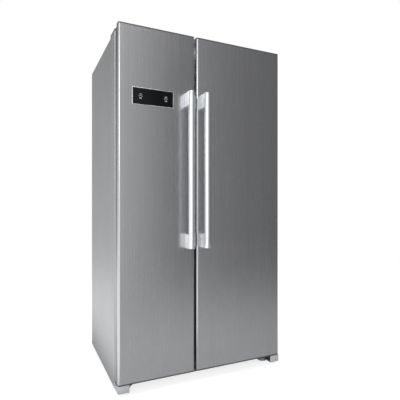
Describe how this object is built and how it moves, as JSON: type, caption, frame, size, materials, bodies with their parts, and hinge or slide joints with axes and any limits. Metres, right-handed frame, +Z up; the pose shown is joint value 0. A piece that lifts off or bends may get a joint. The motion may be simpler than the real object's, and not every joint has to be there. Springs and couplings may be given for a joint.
{
  "type": "side by side refrigerator",
  "caption": "Two-door side by side refrigerator: freezer with drawers, ice maker and shelves beside a fresh food side, bar handles, hinged doors and a rear machine compartment.",
  "frame": {"origin": "on the floor, under the middle of the whole outline, handles included", "axes": "+Z up, -Y towards the person who opens the doors, +X to the right seen from the front"},
  "size_m": [0.905, 0.7959, 1.748],
  "materials": {
    "side_panel": "satin",
    "zinc_sheet": "satin",
    "foam": "matte",
    "liner": "gloss",
    "strip": "satin",
    "hinge_steel": "satin",
    "hinge_cover": "satin",
    "foot_cover": "satin",
    "foot": "satin",
    "roller": "matte",
    "dark_plastic": "matte",
    "compressor_paint": "satin",
    "black_rubber": "matte",
    "condenser_steel": "satin",
    "fan_plastic": "satin",
    "copper": "satin",
    "evaporator_aluminium": "satin",
    "shelf_glass": "clear",
    "shelf_trim": "satin",
    "clear_plastic": "clear plastic",
    "tray_plastic": "satin",
    "lamp": "frosted",
    "door_skin": "vertical grain",
    "cap_plastic": "satin",
    "seal": "matte",
    "handle": "polished",
    "bezel": "satin",
    "display_glass": "gloss",
    "screw": "satin"
  },
  "bodies": {
    "cabinet": {"cabinet_shell": "side_panel", "back_panel": "zinc_sheet", "base_frame": "zinc_sheet", "roller_brackets": "zinc_sheet", "insulation_foam": "foam", "freezer_liner": "liner", "fridge_liner": "liner", "evaporator_cover": "liner", "fridge_air_duct": "liner", "ice_maker_frame": "liner", "drain_pan": "liner", "evaporator_fan_motor": "liner", "mullion_strip": "strip", "upper_hinges": "hinge_steel", "lower_hinges": "hinge_steel", "hinge_covers": "hinge_cover", "foot_covers": "foot_cover", "toe_grille": "dark_plastic", "condenser_fan_frame": "dark_plastic", "control_box": "dark_plastic", "machine_cover": "dark_plastic", "compressor": "compressor_paint", "compressor_mounts": "black_rubber", "cord_inlet": "black_rubber", "condenser": "condenser_steel", "refrigerant_pipes": "copper", "evaporator": "evaporator_aluminium", "freezer_shelves": "shelf_glass", "fridge_shelves": "shelf_glass", "shelf_trims": "shelf_trim", "ice_bin": "clear_plastic", "interior_lamps": "lamp", "hinge_screws": "screw"},
    "left_door": {"left_door_skin": "door_skin", "left_door_caps": "cap_plastic", "left_door_foam": "foam", "left_door_liner": "liner", "left_door_seal": "seal", "left_handle": "handle", "left_door_bins": "clear_plastic", "display_bezel": "bezel", "display_glass": "display_glass"},
    "right_door": {"right_door_skin": "door_skin", "right_door_caps": "cap_plastic", "right_door_foam": "foam", "right_door_liner": "liner", "right_door_seal": "seal", "right_handle": "handle", "right_door_bins": "clear_plastic"},
    "foot_left": {"levelling_foot_left": "foot"},
    "foot_right": {"levelling_foot_right": "foot"},
    "roller_left": {"rear_roller_left": "roller"},
    "roller_right": {"rear_roller_right": "roller"},
    "condenser_fan": {"condenser_fan_blade": "fan_plastic"},
    "evaporator_fan": {"evaporator_fan_blade": "fan_plastic"},
    "freezer_drawer_top": {"freezer_drawer_upper": "clear_plastic"},
    "freezer_drawer_bottom": {"freezer_drawer_lower": "clear_plastic"},
    "crisper_top": {"crisper_upper": "clear_plastic"},
    "crisper_bottom": {"crisper_lower": "clear_plastic"},
    "ice_turner": {"ice_tray": "tray_plastic"}
  },
  "joints": [
    {"name": "left_door_hinge", "type": "hinge", "parent": "cabinet", "child": "left_door", "pos_m": [-0.4385, -0.282, 0.874], "axis": [0, 0, -1], "range_deg": [0, 120]},
    {"name": "right_door_hinge", "type": "hinge", "parent": "cabinet", "child": "right_door", "pos_m": [0.4385, -0.282, 0.874], "axis": [0, 0, 1], "range_deg": [0, 120]},
    {"name": "freezer_drawer_upper_slide", "type": "slide", "parent": "cabinet", "child": "freezer_drawer_top", "axis": [0, -1, 0], "range_m": [0, 0.235]},
    {"name": "freezer_drawer_lower_slide", "type": "slide", "parent": "cabinet", "child": "freezer_drawer_bottom", "axis": [0, -1, 0], "range_m": [0, 0.235]},
    {"name": "crisper_upper_slide", "type": "slide", "parent": "cabinet", "child": "crisper_top", "axis": [0, -1, 0], "range_m": [0, 0.235]},
    {"name": "crisper_lower_slide", "type": "slide", "parent": "cabinet", "child": "crisper_bottom", "axis": [0, -1, 0], "range_m": [0, 0.235]},
    {"name": "left_foot_screw", "type": "slide", "parent": "cabinet", "child": "foot_left", "axis": [0, 0, -1], "range_m": [0, 0.012]},
    {"name": "right_foot_screw", "type": "slide", "parent": "cabinet", "child": "foot_right", "axis": [0, 0, -1], "range_m": [0, 0.012]},
    {"name": "left_roller_spin", "type": "hinge", "parent": "cabinet", "child": "roller_left", "pos_m": [-0.4085, 0.338, 0.02], "axis": [1, 0, 0], "continuous": true},
    {"name": "right_roller_spin", "type": "hinge", "parent": "cabinet", "child": "roller_right", "pos_m": [0.4085, 0.338, 0.02], "axis": [1, 0, 0], "continuous": true},
    {"name": "condenser_fan_spin", "type": "hinge", "parent": "cabinet", "child": "condenser_fan", "pos_m": [-0.13225, 0.273, 0.13], "axis": [1, 0, 0], "continuous": true},
    {"name": "evaporator_fan_spin", "type": "hinge", "parent": "cabinet", "child": "evaporator_fan", "pos_m": [-0.24111, 0.279, 1.13752], "axis": [0, 1, 0], "continuous": true},
    {"name": "ice_tray_turn", "type": "hinge", "parent": "cabinet", "child": "ice_turner", "pos_m": [-0.24111, -0.104, 1.61], "axis": [0, 1, 0], "range_deg": [0, 120], "stiffness_Nm_per_rad": 0.08}
  ],
  "couplings": [
    {"joint": "freezer_drawer_upper_slide", "follows": "left_door_hinge", "m_per_rad": 0.11},
    {"joint": "freezer_drawer_lower_slide", "follows": "left_door_hinge", "m_per_rad": 0.11},
    {"joint": "crisper_upper_slide", "follows": "right_door_hinge", "m_per_rad": 0.11},
    {"joint": "crisper_lower_slide", "follows": "right_door_hinge", "m_per_rad": 0.11}
  ]
}
